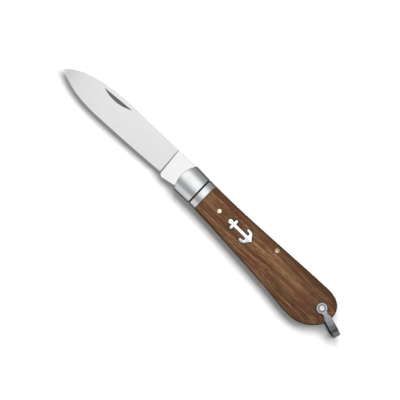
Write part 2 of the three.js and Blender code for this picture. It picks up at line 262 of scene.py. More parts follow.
def give(mesh, finishes):
    for finish in finishes:
        mesh.materials.append(finish)


def mesh_of(vertices, faces, merge=1e-4):
    """A closed mesh whose faces point outwards."""
    mesh = bpy.data.meshes.new("shape")
    mesh.from_pydata([tuple(v) for v in vertices], [], faces)
    shape = bmesh.new()
    shape.from_mesh(mesh)
    bmesh.ops.remove_doubles(shape, verts=shape.verts, dist=merge)
    bmesh.ops.dissolve_degenerate(shape, edges=shape.edges, dist=merge)
    bmesh.ops.recalc_face_normals(shape, faces=shape.faces)
    shape.to_mesh(mesh)
    shape.free()
    return mesh


def grid_faces(rows, columns):
    """Quads between neighbouring rows of points."""
    corners = [r * columns + c for r in range(rows - 1) for c in range(columns - 1)]
    return [(n, n + 1, n + columns + 1, n + columns) for n in corners]


def slab(points, low, high, bevel=0.0, segments=2):
    """An outline as a plate between two heights, with its long edges rounded."""
    shape = bmesh.new()
    corners = [shape.verts.new((x, y, low)) for x, y in points]
    base = shape.faces.new(corners)
    raised = bmesh.ops.extrude_face_region(shape, geom=[base])
    top = [v for v in raised["geom"] if isinstance(v, bmesh.types.BMVert)]
    bmesh.ops.translate(shape, verts=top, vec=(0, 0, high - low))
    bmesh.ops.recalc_face_normals(shape, faces=shape.faces)
    if bevel:
        rims = [e for e in shape.edges if abs(e.verts[0].co.z - e.verts[1].co.z) < 1e-6]
        bmesh.ops.bevel(shape, geom=rims, offset=bevel, segments=segments, profile=0.5, affect="EDGES")
    mesh = bpy.data.meshes.new("shape")
    shape.to_mesh(mesh)
    shape.free()
    return mesh


def lathe(profile, middle, steps=64):
    """A profile of (radius, z) points, from the axis back to the axis, turned about an upright axis."""
    vertices = [(x, y, z) for r, z in profile for x, y in arc(middle, r, 0, 2 * math.pi, steps)]
    return mesh_of(vertices, grid_faces(len(profile), steps + 1))


def slice_mesh(mesh, axis, places):
    """Adds edges to a mesh where planes across an axis cut it."""
    shape = bmesh.new()
    shape.from_mesh(mesh)
    normal = Vector((axis == 0, axis == 1, axis == 2))
    for place in places:
        everything = [*shape.verts, *shape.edges, *shape.faces]
        bmesh.ops.bisect_plane(shape, geom=everything, plane_co=normal * place, plane_no=normal)
    shape.to_mesh(mesh)
    shape.free()


def cut(mesh, cutters, floor_slot=0):
    """The mesh less its cutters' space. The new faces get the finish in that slot."""
    target = add_object("target", mesh)
    tools = []
    for cutter in cutters:
        give(cutter, mesh.materials)
        for face in cutter.polygons:
            face.material_index = floor_slot
        tool = add_object("tool", cutter)
        modifier = target.modifiers.new("cut", "BOOLEAN")
        modifier.object = tool
        modifier.solver = "EXACT"
        tools.append(tool)
    evaluated = target.evaluated_get(bpy.context.evaluated_depsgraph_get())
    result = bpy.data.meshes.new_from_object(evaluated)
    for done in [target, *tools]:
        bpy.data.objects.remove(done)
    return result


def turned_over(mesh):
    """A copy of a left-side mesh for the right side."""
    copy = mesh.copy()
    copy.transform(Matrix.Scale(-1, 4, (0, 0, 1)))
    copy.flip_normals()
    return copy


def piece(name, mesh, finishes, body, nodes, crease=35):
    """Puts a finished mesh in the frame as a piece that stands for CAD nodes."""
    if not mesh.materials:
        give(mesh, finishes)
    mesh.transform(Matrix.Translation(PIVOT) @ Matrix.Scale(MM, 4))
    mesh.shade_smooth()
    mesh.set_sharp_from_angle(angle=math.radians(crease))
    made = add_object(name, mesh)
    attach(made, body)
    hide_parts(*nodes)


def piece_pair(cad_name, look, left, right, finishes, crease=35):
    """The same kind of piece on both sides of the handle."""
    for side, mesh in (("left", left), ("right", right)):
        replaced = f"{cad_name}_{side}"
        piece(f"{replaced}_{look}", mesh, finishes, "handle", [replaced], crease)


# ---- Materials -----------------------------------------------


def feed(tree, socket, value):
    """Gives a socket a value, or another node's output."""
    if isinstance(value, bpy.types.NodeSocket):
        tree.links.new(value, socket)
    else:
        socket.default_value = value


def node(tree, kind, settings=None, **inputs):
    """Adds a shader node. An input is a value, or another node's output."""
    made = tree.nodes.new("ShaderNode" + kind)
    for key, value in (settings or {}).items():
        setattr(made, key, value)
    for key, value in inputs.items():
        feed(tree, made.inputs[key.replace("_", " ")], value)
    return made


def new_material(name, **inputs):
    """A material with one Principled shader."""
    material = bpy.data.materials.new(name)
    material.use_nodes = True
    tree = material.node_tree
    tree.nodes.clear()
    shader = node(tree, "BsdfPrincipled", **inputs)
    output = node(tree, "OutputMaterial")
    tree.links.new(shader.outputs["BSDF"], output.inputs["Surface"])
    return material, tree, shader


def vector_node(tree, operation, a, b):
    made = node(tree, "VectorMath", {"operation": operation})
    feed(tree, made.inputs[0], a)
    feed(tree, made.inputs[1], b)
    return made.outputs["Value" if operation == "DISTANCE" else "Vector"]


def noise(tree, cells, detail, rough=0.5, place=None):
    """Noise in the piece's own place, in cells per metre along X, Y and Z."""
    place = place or node(tree, "TexCoord").outputs["Object"]
    scaled = vector_node(tree, "MULTIPLY", place, cells)
    made = node(tree, "TexNoise", Vector=scaled, Scale=1.0, Detail=detail, Roughness=rough)
    return made.outputs["Fac"]


def between(tree, value, low, high, to_low=0.0, to_high=1.0):
    """Value mapped from one range to another, and clamped."""
    made = node(tree, "MapRange", Value=value, From_Min=low, From_Max=high, To_Min=to_low, To_Max=to_high)
    return made.outputs["Result"]


def math_node(tree, operation, a, b=0.0):
    made = node(tree, "Math", {"operation": operation})
    feed(tree, made.inputs[0], a)
    feed(tree, made.inputs[1], b)
    return made.outputs[0]


def mix(tree, factor, a, b, blend="MIX"):
    """One colour over another."""
    made = node(tree, "Mix", {"data_type": "RGBA", "blend_type": blend})
    sockets = {socket.identifier: socket for socket in made.inputs}
    feed(tree, sockets["Factor_Float"], factor)
    feed(tree, sockets["A_Color"], a)
    feed(tree, sockets["B_Color"], b)
    return next(socket for socket in made.outputs if socket.identifier == "Result_Color")


def ramp(tree, value, stops):
    made = node(tree, "ValToRGB", Fac=value)
    band = made.color_ramp
    while len(band.elements) < len(stops):
        band.elements.new(0.5)
    for element, (place, colour) in zip(band.elements, stops):
        element.position = place
        element.color = (*colour, 1)
    return made.outputs["Color"]


def surface(tree, shader, colour, height, depth):
    """Gives a shader its colour, and a relief of a depth in metres."""
    tree.links.new(colour, shader.inputs["Base Color"])
    relieved = node(tree, "Bump", Height=height, Distance=depth, Strength=1.0)
    tree.links.new(relieved.outputs["Normal"], shader.inputs["Normal"])


def metal(name, colour, rough, lines, line_depth, stain, spread, painted_shade_and_darkening=None):
    """Worked metal: fine tool lines over a cloudy change of gloss and tone, and painted shade over all if
    given.
    """
    material, tree, shader = new_material(name, Metallic=1.0)
    fine = noise(tree, lines, detail=3, rough=0.7)
    cloud = noise(tree, (160, 160, 160), detail=3, rough=0.6)
    flecks = noise(tree, (1400, 1400, 1400), detail=2, rough=0.6)
    lined = between(tree, fine, 0.3, 0.7, rough - spread, rough + spread)
    clouded = between(tree, cloud, 0.3, 0.7, -spread / 2, spread / 2)
    tree.links.new(math_node(tree, "ADD", lined, clouded), shader.inputs["Roughness"])
    darker = (*(c * (1 - stain) for c in colour), 1)
    darkest = (*(c * 0.5 for c in colour), 1)
    tone = mix(tree, between(tree, cloud, 0.35, 0.7), (*colour, 1), darker)
    tone = mix(tree, between(tree, flecks, 0.62, 0.75, 0, stain), tone, darkest)
    # painted shade over the whole colour
    if painted_shade_and_darkening:
        tone = mix(tree, 1.0, tone, painted_shade_and_darkening(tree), "MULTIPLY")
    surface(tree, shader, tone, fine, line_depth)
    return material


# Painted shade along the shackle: how bright it is painted, by distance from its rivet in millimetres
SHACKLE_PAINTED_TONES = (
    (1.5, 0.33), (2.1, 0.33), (2.3, 0.53), (2.9, 0.46), (4.3, 0.4), (8, 0.28), (10, 0.235), (11, 0.135),
    (12.5, 0.13), (13.2, 0.07), (14.2, 0.27), (14.9, 0.95),
)
SHACKLE_REACH = 18.0


def painted_shackle_shade(tree):
    """Painted shade along the shackle: lightest on its eyes' rims and on the bow, darkest where the bow
    starts to bend.
    """
    flat = vector_node(tree, "MULTIPLY", node(tree, "TexCoord").outputs["Object"], (1, 1, 0))
    off = vector_node(tree, "DISTANCE", flat, (*(PIVOT + RIVET * MM).to_2d(), 0))
    share = between(tree, off, 0, SHACKLE_REACH * MM)
    return ramp(tree, share, [(place / SHACKLE_REACH, (tone, tone, tone)) for place, tone in SHACKLE_PAINTED_TONES])


# Colour, roughness, tool lines in cells per metre, their depth in metres, stain, spread of gloss, and painted
# shade
METALS = {
    "bolster_steel": ((0.70, 0.71, 0.72), 0.24, (300, 4200, 4200), 4e-6, 0.06, 0.04),
    # painted shade in the nail nick
    "nick_painted_shade": ((0.19, 0.19, 0.2), 0.4, (200, 5200, 5200), 1e-5, 0.2, 0.08),
    # painted shade on the plunge wall
    "plunge_painted_shade": ((0.5, 0.5, 0.51), 0.4, (5200, 200, 5200), 1e-5, 0.1, 0.08),
    # painted shade in the bolster's groove
    "groove_painted_shade": ((0.05, 0.05, 0.06), 0.4, (300, 4200, 4200), 1e-5, 0.2, 0.08),
    "liner_steel": ((0.62, 0.62, 0.63), 0.3, (120, 120, 5200), 8e-6, 0.12, 0.08),
    "spring_steel": ((0.55, 0.55, 0.57), 0.28, (120, 2600, 5200), 8e-6, 0.12, 0.08),
    # the shackle's steel, with painted shade along it
    "shackle_steel": ((0.92, 0.97, 1.0), 0.3, (900, 1400, 1400), 1e-5, 0.15, 0.1, painted_shackle_shade),
    # painted highlight on the shackle's rounded outer edges
    "edge_painted_highlight": ((0.7, 0.71, 0.73), 0.35, (900, 1400, 1400), 1e-5, 0.15, 0.08),
    # painted shade inside the shackle's bend
    "inner_painted_shade": ((0.06, 0.06, 0.07), 0.5, (900, 1400, 1400), 1e-5, 0.2, 0.08),
    "rivet_steel": ((0.8, 0.8, 0.8), 0.26, (1400, 1400, 1400), 6e-6, 0.1, 0.08),
    "brass": ((1.0, 0.73, 0.44), 0.34, (2600, 2600, 2600), 6e-6, 0.1, 0.08),
    # brass with a painted highlight, for the scale pins
    "brass_painted_highlight": ((1.0, 0.92, 0.73), 0.33, (2600, 2600, 2600), 6e-6, 0.06, 0.08),
    "nickel_silver": ((0.98, 0.98, 0.97), 0.28, (3200, 500, 500), 6e-6, 0.05, 0.08),
}

# The wood's tones by the noise of its broad bands
WOOD_TONES = (
    (0.35, (0.080, 0.032, 0.013)),
    (0.44, (0.140, 0.062, 0.027)),
    (0.53, (0.235, 0.115, 0.049)),
    (0.64, (0.350, 0.188, 0.092)),
)
# Streaks, flecks and fibres over them: cells per metre, detail, roughness, the noise where each starts and is
# full, its strength and its colour
WOOD_LAYERS = (
    ((70, 1700, 1700), 4, 0.7, (0.48, 0.62), 0.9, (0.052, 0.019, 0.010, 1)),
    ((190, 1250, 1250), 3, 0.6, (0.53, 0.64), 0.85, (0.062, 0.022, 0.010, 1)),
    ((260, 3600, 3600), 3, 0.6, (0.42, 0.7), 0.4, (0.08, 0.030, 0.016, 1)),
)
# Redder patches and yellower ones: the noise where each starts and is full, its strength and its colour
WOOD_PATCHES = (
    ((0.5, 0.68), 0.6, (0.15, 0.044, 0.026, 1)),
    ((0.46, 0.32), 0.5, (0.185, 0.105, 0.042, 1)),
)
# Painted shade towards the spine and in the joint with the bolster, and darker towards the butt: axis, where
# each starts and ends in millimetres from the pivot, its strength there, and its colour
WOOD_PAINTED_SHADE_AND_DARKENING = (
    ("Y", (4.5, 8.5), (0, 0.75), (0.06, 0.024, 0.010, 1)),
    ("X", (55, 90), (0, 0.3), (0.06, 0.028, 0.012, 1)),
    ("X", (SCALE_START_X, SCALE_START_X + 0.6), (0.8, 0), (0.03, 0.018, 0.01, 1)),
)
# Painted shade on the wood's rounded edges, where they turn away from above
WOOD_EDGE_PAINTED_SHADE = (0.028, 0.016, 0.009, 1)
WOOD_PORE = (0.02, 0.01, 0.006, 1)


def wandering(tree, place):
    """The place, shifted across the grain so that streaks wander."""
    wander = noise(tree, (14, 40, 40), detail=3, place=place)
    shift = node(tree, "CombineXYZ", Y=between(tree, wander, 0, 1, -0.005, 0.005))
    return vector_node(tree, "ADD", place, shift.outputs[0])


def wood_colour(tree, place, along):
    """The wood's colour, less the painted shade on its edges and its pores, and the noises of its bands and
    of its fibres.
    """
    bands = noise(tree, (20, 520, 520), detail=5, rough=0.62, place=along)
    colour = ramp(tree, bands, WOOD_TONES)
    for cells, detail, rough, span, strength, tone in WOOD_LAYERS:
        fibres = noise(tree, cells, detail, rough, along)
        colour = mix(tree, between(tree, fibres, *span, 0, strength), colour, tone)
    patches = noise(tree, (45, 130, 130), detail=2, place=place)
    for span, strength, tone in WOOD_PATCHES:
        colour = mix(tree, between(tree, patches, *span, 0, strength), colour, tone)
    split = node(tree, "SeparateXYZ", Vector=place)
    # painted shade towards the spine and at the bolster joint, and darker towards the butt
    for axis, span, strengths, tone in WOOD_PAINTED_SHADE_AND_DARKENING:
        start, end = (PIVOT["XYZ".index(axis)] + offset * MM for offset in span)
        painted_shade_and_darkening = between(tree, split.outputs[axis], start, end, *strengths)
        colour = mix(tree, painted_shade_and_darkening, colour, tone)
    return colour, bands, fibres


def wood_material():
    """Oiled walnut: streaks along X, open pores, and painted shade on its rounded edges."""
    material, tree, shader = new_material(
        "walnut", Specular_IOR_Level=0.2, Coat_Weight=0.03, Coat_Roughness=0.3
    )
    coordinates = node(tree, "TexCoord")
    place = coordinates.outputs["Object"]
    along = wandering(tree, place)
    colour, bands, fibres = wood_colour(tree, place, along)
    facing_for_painted_light = node(tree, "SeparateXYZ", Vector=coordinates.outputs["Normal"]).outputs["Z"]
    # painted shade where the surface turns away from above
    edge = between(tree, math_node(tree, "ABSOLUTE", facing_for_painted_light), 0.74, 0.44, 0, 0.95)
    colour = mix(tree, edge, colour, WOOD_EDGE_PAINTED_SHADE)
    pore = between(tree, noise(tree, (420, 5200, 5200), detail=2, place=along), 0.64, 0.7)
    colour = mix(tree, math_node(tree, "MULTIPLY", pore, 0.6), colour, WOOD_PORE)
    banded = between(tree, bands, 0.3, 0.7, 0.42, 0.52)
    gloss = math_node(tree, "ADD", banded, math_node(tree, "MULTIPLY", pore, 0.2))
    tree.links.new(gloss, shader.inputs["Roughness"])
    height = math_node(tree, "SUBTRACT", math_node(tree, "MULTIPLY", fibres, 0.4), pore)
    surface(tree, shader, colour, height, 6e-5)
    return material


def gap_shade_material():
    """Painted shade on the walls and floors of the gaps round the inlay and the pins."""
    material, tree, shader = new_material("gap_painted_shade", Roughness=0.6, Specular_IOR_Level=0.2)
    grain = noise(tree, (2500, 2500, 2500), detail=3)
    tone = mix(tree, between(tree, grain, 0.3, 0.7), (0.012, 0.008, 0.005, 1), (0.035, 0.022, 0.014, 1))
    surface(tree, shader, tone, grain, 3e-5)
    return material


SATIN_TONES = ((0.97, 0.962, 0.965, 1), (0.89, 0.882, 0.885, 1))
RICASSO_TONE = (0.66, 0.66, 0.665, 1)
# Painted highlight on the edge bevel
KEEN_PAINTED_HIGHLIGHT = (1, 1, 1, 1)


def polished_share(tree, place):
    """0 ahead of the blade's plunge line and 1 behind it."""
    split = node(tree, "SeparateXYZ", Vector=place)
    slope = PLUNGE_LEAN / (SPINE_Y - HEEL[1])
    lean = math_node(tree, "MULTIPLY", split.outputs["Y"], slope)
    along = math_node(tree, "ADD", split.outputs["X"], lean)
    plunge = PIVOT.x + PLUNGE_TOP_X * MM + (PIVOT.y + SPINE_Y * MM) * slope
    return between(tree, along, plunge + 0.2 * MM, plunge + 0.6 * MM)


def blade_material():
    """Satin-ground faces with lines across the blade, a polished ricasso, and a painted highlight on the edge
    bevel.
    """
    material, tree, shader = new_material("blade_steel", Metallic=1.0)
    coordinates = node(tree, "TexCoord")
    polished = polished_share(tree, coordinates.outputs["Object"])
    lines = noise(tree, (5200, 90, 90), detail=4, rough=0.75)
    cloud = noise(tree, (60, 60, 60), detail=3)
    lined = between(tree, lines, 0.3, 0.7, 0.3, 0.42)
    satin = math_node(tree, "ADD", lined, between(tree, cloud, 0.3, 0.7, -0.03, 0.03))
    gloss = math_node(tree, "MULTIPLY", satin, between(tree, polished, 0, 1, 1, 0.4))
    tree.links.new(gloss, shader.inputs["Roughness"])
    tone = mix(tree, between(tree, lines, 0.3, 0.75), *SATIN_TONES)
    tone = mix(tree, polished, tone, RICASSO_TONE)
    facing_for_painted_light = node(tree, "SeparateXYZ", Vector=coordinates.outputs["Normal"]).outputs["Y"]
    # painted highlight on the faces of the edge bevel
    tone = mix(tree, between(tree, facing_for_painted_light, -0.12, -0.2), tone, KEEN_PAINTED_HIGHLIGHT)
    height = math_node(tree, "MULTIPLY", lines, between(tree, polished, 0, 1, 1, 0.08))
    surface(tree, shader, tone, height, 1.2e-5)
    return material


# ---- Handle --------------------------------------------------


def section_shares(steps):
    """Points of the rounded section, from its middle out, as shares of its half width and its height."""
    angles = np.linspace(0, math.pi / 2, steps + 1)
    return [(math.sin(a) ** (2 / CROWN), max(0.0, math.cos(a)) ** (2 / CROWN)) for a in angles]


def butt_ray(angle):
    """From the end of the middle line out to the outline, at an angle from the spine side's normal."""
    origin = Vector((MIDDLE_END_X, middle_and_half(MIDDLE_END_X)[0]))
    far = origin + 40 * Vector((math.sin(angle), math.cos(angle)))
    for a, b in zip(OUTLINE, OUTLINE[1:]):
        hit = intersect_line_line_2d(origin, far, Vector(a), Vector(b))
        if hit is not None:
            return origin, hit
    raise ValueError("a ray missed the handle's outline")


def side_ray(x, side):
    """From the middle line out to the outline on one side, at x."""
    middle, half = middle_and_half(x)
    return Vector((x, middle)), Vector((x, middle + side * half))


def scale_rays():
    """Lines from the scale's middle out to its outline, along the spine, round the butt and back."""
    stations = np.linspace(SCALE_START_X, MIDDLE_END_X, 110)[:-1]
    spine = [side_ray(x, 1) for x in stations]
    butt = [butt_ray(a) for a in np.linspace(0, math.pi, 61)]
    belly = [side_ray(x, -1) for x in stations[::-1]]
    return spine + butt + belly


def scale_mesh():
    """One scale: crowned outside, flat inside, with a flat joint face at the bolster."""
    shares = section_shares(22)
    rays = scale_rays()
    thick = HANDLE_HALF - LINER_OUTER
    vertices = []
    for origin, end in rays:
        for across, up in shares:
            x, y = origin.lerp(end, across)
            vertices.append((x, y, LINER_OUTER + thick * up))
    columns = len(shares)
    faces = grid_faces(len(rays), columns)
    outer = [r * columns + columns - 1 for r in range(len(rays))]
    first = list(range(columns))
    last = [(len(rays) - 1) * columns + c for c in range(columns)]
    faces.append(outer[::-1])
    faces.append(first[::-1] + last[1:])
    return mesh_of(vertices, faces)


def pin_hole(middle, radius):
    wide = radius + PIN_GAP
    return lathe([(0, 0), (wide, 0), (wide, CLEAR_Z), (0, CLEAR_Z)], middle, 40)


def make_scales(wood, gap_shade):
    holes = [pin_hole(*round_pin(pin)) for pin in ("scale_pin_left", "spring_pin")]
    plain = scale_mesh()
    give(plain, [wood, gap_shade])
    pockets = [slab(loop, ANCHOR_FLOOR, CLEAR_Z) for loop in anchor_pockets()]
    # the cut faces of the holes and the inlay's pockets get painted shade
    left = cut(plain.copy(), [*holes, *pockets], 1)
    right = turned_over(cut(plain, holes, 1))
    piece_pair("scale", "walnut", left, right, [wood, gap_shade])


def relief(x, from_front):
    """How far a bolster's surface lies under the handle's: rounded ends, and a groove with rounded lips."""
    deep = 0.0
    for distance, edge in ((from_front, BOLSTER_EDGE), (RING_END_X - x, RING_EDGE)):
        if distance < edge:
            deep = max(deep, edge - math.sqrt(max(0.0, edge**2 - (edge - distance) ** 2)))
    off = abs(x - GROOVE_X)
    if off < GROOVE_HALF:
        deep = max(deep, LIP / 2 + (GROOVE_DEPTH - LIP / 2) * math.sqrt(1 - (off / GROOVE_HALF) ** 2))
    elif off < GROOVE_HALF + LIP:
        deep = max(deep, LIP / 2 * ((GROOVE_HALF + LIP - off) / LIP) ** 2)
    return deep


def bolster_stations():
    """Places along the bolster's middle, close together where its surface turns."""
    front = [BOLSTER_FRONT_X + BOLSTER_EDGE * (1 - math.cos(a)) for a in np.linspace(0, math.pi / 2, 7)]
    body = list(np.linspace(BOLSTER_FRONT_X + BOLSTER_EDGE, GROOVE_X - GROOVE_HALF - LIP, 30))[1:]
    lip = [GROOVE_X - GROOVE_HALF - LIP * share for share in (0.66, 0.33)]
    groove = [GROOVE_X - GROOVE_HALF * math.cos(a) for a in np.linspace(0, math.pi, 13)]
    other_lip = [2 * GROOVE_X - x for x in reversed(lip)]
    band = list(np.linspace(GROOVE_X + GROOVE_HALF + LIP, RING_END_X - RING_EDGE, 10))
    rear = [RING_END_X - RING_EDGE * (1 - math.sin(a)) for a in np.linspace(0, math.pi / 2, 5)][1:]
    return front + body + lip + groove + other_lip + band + rear


def bolster_point(station, across, up):
    """A point of the bolster's surface, and the same point brought down to its inner face."""
    fade = min(1.0, max(0.0, (STRAIGHT_X - station) / (STRAIGHT_X - BOLSTER_FRONT_X)))
    fade = fade * fade * (3 - 2 * fade)
    x = station
    for _ in range(4):
        middle, half = middle_and_half(x)
        y = middle + across * half
        x = station + (front_x(y) - BOLSTER_FRONT_X) * fade
    deep = relief(x, x - front_x(y))
    thick = HANDLE_HALF - LINER_OUTER
    sideways = math.copysign(abs(across) ** (CROWN - 1), across) / half
    outward = Vector((sideways, up ** (CROWN - 1) / thick)).normalized()
    y -= outward.x * deep
    z = max(LINER_OUTER, LINER_OUTER + thick * up - outward.y * deep)
    return (x, y, z), (x, y, LINER_OUTER)


def bolster_mesh():
    half = section_shares(34)
    shares = [(-across, up) for across, up in reversed(half)] + half[1:]
    outside = [[bolster_point(station, *share) for share in shares] for station in bolster_stations()]
    rows = [[foot for _, foot in outside[0]]]
    rows += [[top for top, _ in row] for row in outside]
    rows += [[foot for _, foot in outside[-1]]]
    columns, last = len(shares), len(rows) - 1
    faces = grid_faces(len(rows), columns)
    front = list(range(columns))
    rear = [last * columns + c for c in range(columns)]
    belly = [r * columns for r in range(2, last - 1)]
    spine = [corner + columns - 1 for corner in belly]
    faces.append(front + spine + rear[::-1] + belly[::-1])
    return mesh_of([point for row in rows for point in row], faces)


def make_bolsters(steel, painted_shade_steel):
    left = bolster_mesh()
    for face in left.polygons:
        # the groove's faces get painted shade
        face.material_index = int(abs(face.center.x - GROOVE_X) < GROOVE_HALF)
    piece_pair("bolster", "polished", left, turned_over(left), [steel, painted_shade_steel], 50)


def liner_outline():
    """The bolsters' front from the belly to the spine, then the handle's outline back to the belly."""
    belly, spine = height_at(BELLY_SIDE, -4), height_at(SPINE_SIDE, -4)
    front = [(front_x(y), y) for y in np.linspace(belly, spine, 40)]
    return front + [p for p in OUTLINE if p[0] > front[-1][0] + 0.05]


def spring_outline():
    """The backspring's inner edge from its nose to its tail, then back along the butt and the spine."""
    flat = TANG_FLAT + SHOULDER_GAP
    tail = (98, -4.8)
    inner = [(NOSE_X, flat), (15, flat)]
    inner += bezier((15, flat), (28, flat), (34, 5.6), (42, 5.0))
    inner += bezier((42, 5.0), (52, 3.6), (64, 3.6), (74, 5.6))
    inner += bezier((74, 5.6), (82, 6.4), (86, 4), (88.5, 0))
    inner += bezier((88.5, 0), (90, -3.2), (94, -4.6), tail)
    behind = [p for p in OUTLINE if p[0] > NOSE_X and p[1] > tail[1]]
    return inner + behind[::-1] + [(NOSE_X, height_at(SPINE_SIDE, NOSE_X))]


def make_plates(liner_steel, spring_steel):
    """The liners and the backspring between them."""
    left = slab(liner_outline(), SLOT_HALF, LINER_OUTER, PLATE_BEVEL)
    piece_pair("liner", "plate", left, turned_over(left), [liner_steel])
    spring = slab(spring_outline(), -SLOT_HALF, SLOT_HALF, PLATE_BEVEL)
    piece("backspring_polished", spring, [spring_steel], "handle", ["backspring"])


def pin_mesh(middle, radius, low, high):
    """An upright pin. An end is a height or, where None, stands a little proud of the handle's surface."""
    rings = [(1, high, *ring) for ring in PIN_RINGS] + [(-1, low, *ring) for ring in reversed(PIN_RINGS)]
    vertices = []
    for side, end, share, drop in rings:
        for x, y in arc(middle, share * radius, 0, 2 * math.pi, PIN_STEPS):
            z = side * (surface_z(x, y) + PROUD - drop) if end is None else end
            vertices.append((x, y, z))
    return mesh_of(vertices, grid_faces(len(rings), PIN_STEPS + 1))


def make_pins(brass, brass_painted_highlight, steel):
    left = pin_mesh(*round_pin("scale_pin_left"), SLOT_HALF, None)
    # the scale pins get the brass with a painted highlight
    piece_pair("scale_pin", "brass", left, turned_over(left), [brass_painted_highlight])
    through = pin_mesh(*round_pin("spring_pin"), None, None)
    piece("spring_pin_brass", through, [brass], "handle", ["spring_pin"])
    hidden = pin_mesh(*round_pin("pivot_pin"), -PIVOT_PIN_HALF, PIVOT_PIN_HALF)
    piece("pivot_pin_steel", hidden, [steel], "handle", ["pivot_pin"])


def finish_hidden_pins(steel):
    """The bolsters' pins keep their CAD shape."""
    for side in ("left", "right"):
        for place in ("spine", "belly"):
            mesh = frame["nodes"][f"bolster_pin_{place}_{side}"].data
            mesh.materials.clear()
            give(mesh, [steel])


# ---- Anchor inlay --------------------------------------------


def anchor_crown():
    """Half the crown, from the anchor's end round the fluke to the shank."""
    (x, y), r, throat = ANCHOR["fluke"], ANCHOR["fluke_round"], ANCHOR["throat"]
    half = [(ANCHOR_LENGTH, 0), (15.1, 2.1)]
    half += bezier(half[-1], (14.75, 3.3), (13.9, y + r), (x + 0.3, y + r), 14)
    half += arc((x, y), r, math.pi / 2, 3 * math.pi / 2, 12)
    half += bezier(half[-1], (12.3, y - r), (throat, 2.6), (throat, 1.6), 10)
    return half + bezier(half[-1], (throat, 1.1), (13.0, ANCHOR["shank"]), (12.5, ANCHOR["shank"]), 6)


def mirrored(half):
    """A closed loop from its half on the spine's side. Points on the middle line aren't repeated."""
    return half + [(x, -y) for x, y in reversed(half) if y > 1e-6]


def anchor_place(loop):
    """A loop in the anchor's own frame, along its shank from its ring, moved to its place on the handle."""
    middle = Vector((ANCHOR_LENGTH / 2, 0))
    turn = Matrix.Rotation(ANCHOR["lean"], 2)
    return [tuple(ANCHOR_ORIGIN + middle + turn @ (Vector(p) - middle)) for p in loop]


def anchor_stock():
    """The rounded end of the stock on the spine's side."""
    return arc(ANCHOR["stock"], ANCHOR["stock_round"], 0, math.pi, 14)


def anchor_outline():
    """A plain anchor: crown with flukes, shank, stock and ring."""
    shank, ring, stock = ANCHOR["shank"], ANCHOR["ring"], anchor_stock()
    half = anchor_crown() + [(stock[0][0], shank)] + stock + [(stock[-1][0], shank)]
    half += arc((ring, 0), ring, math.asin(shank / ring), math.pi, 14)
    return anchor_place(mirrored(half))


def anchor_pockets():
    """The wood cut away for the anchor as three overlapping loops, each with its gap."""
    ring = ANCHOR["ring"]
    body = mirrored(anchor_crown() + [(ring, ANCHOR["shank"])])
    end = arc((ring, 0), ring, 0, 2 * math.pi, 30)[:-1]
    return [anchor_place(grown(loop, ANCHOR_GAP)) for loop in (body, mirrored(anchor_stock()), end)]


def grown(loop, amount):
    """A closed loop, run anticlockwise, with each corner moved out along its mean normal."""
    points = [np.array(p, float) for p in loop]
    result = []
    for before, here, after in zip(points[-1:] + points, points, points[1:] + points[:1]):
        normals = []
        for a, b in ((before, here), (here, after)):
            d = (b - a) / max(np.linalg.norm(b - a), 1e-9)
            normals.append(np.array((d[1], -d[0])))
        mean = normals[0] + normals[1]
        mean /= max(np.linalg.norm(mean), 0.5)
        reach = amount / max(0.6, float(mean @ normals[0]))
        result.append(here + mean * reach)
    return result


def make_anchor(silver):
    mesh = slab(anchor_outline(), ANCHOR_FLOOR, HANDLE_HALF, ANCHOR_BEVEL, 3)
    slice_mesh(mesh, 1, np.arange(ANCHOR_LOW.y, ANCHOR_HIGH.y, 0.4))
    for vertex in mesh.vertices:
        if vertex.co.z > ANCHOR_FLOOR + 2 * ANCHOR_BEVEL:
            vertex.co.z += surface_z(vertex.co.x, vertex.co.y) + PROUD - HANDLE_HALF
    piece("anchor_inlay_silver", mesh, [silver], "handle", ["anchor_inlay"])


# ---- Blade ---------------------------------------------------

TIP = (TIP_X, TIP_Y)
BLADE_SPINE = [TIP] + bezier(TIP, (-82.4, 7.7), (-63.8, SPINE_Y), (SPINE_DROP_X, SPINE_Y), 80)
BLADE_EDGE = (
    [TIP]
    + bezier(TIP, (-82.5, -5.5), (-72, -7), BELLY_FOOT, 60)
    + bezier(BELLY_FOOT, (-46, -6.58), (-30, -5.95), HEEL, 60)
    + [KICK, KICK_END]
)


def tang_underside(x):
    lean_y = (x * math.sin(TANG_LEAN) - TANG_FLAT) / math.cos(TANG_LEAN)
    return max(lean_y, -math.sqrt(max(0.0, CAM_RADIUS**2 - x**2)))


def blade_low(x):
    """The blade's underside: cutting edge, kick, tang flat and cam."""
    if x < KICK_END[0]:
        return height_at(BLADE_EDGE, x)
    if x > TANG_START_X:
        return tang_underside(x)
    return height_at([KICK_END, (TANG_START_X, tang_underside(TANG_START_X))], x)


def blade_high(x):
    """The blade's top: spine, and behind the shoulder the tang's flat and cam."""
    shoulder = NOSE_X - SHOULDER_GAP
    if x <= SPINE_DROP_X:
        return height_at(BLADE_SPINE, x)
    if x <= shoulder:
        return SPINE_Y
    return min(TANG_FLAT, math.sqrt(max(0.0, CAM_RADIUS**2 - x**2)))


def plunge_x(y):
    return PLUNGE_TOP_X + PLUNGE_LEAN * (SPINE_Y - y) / (SPINE_Y - HEEL[1])


def plunge_width(y):
    top, foot = PLUNGE_WIDTHS
    return top + (foot - top) * (SPINE_Y - y) / (SPINE_Y - HEEL[1])


def upright(x):
    """A row of the blade's mesh straight across it."""
    return lambda y: x


def rows_between(first, last, shares):
    """Rows from one row to another. Each is a function that gives its x for a y."""
    return [lambda y, t=t: first(y) * (1 - t) + last(y) * t for t in shares]


def wall_end(y):
    return plunge_x(y) + plunge_width(y)


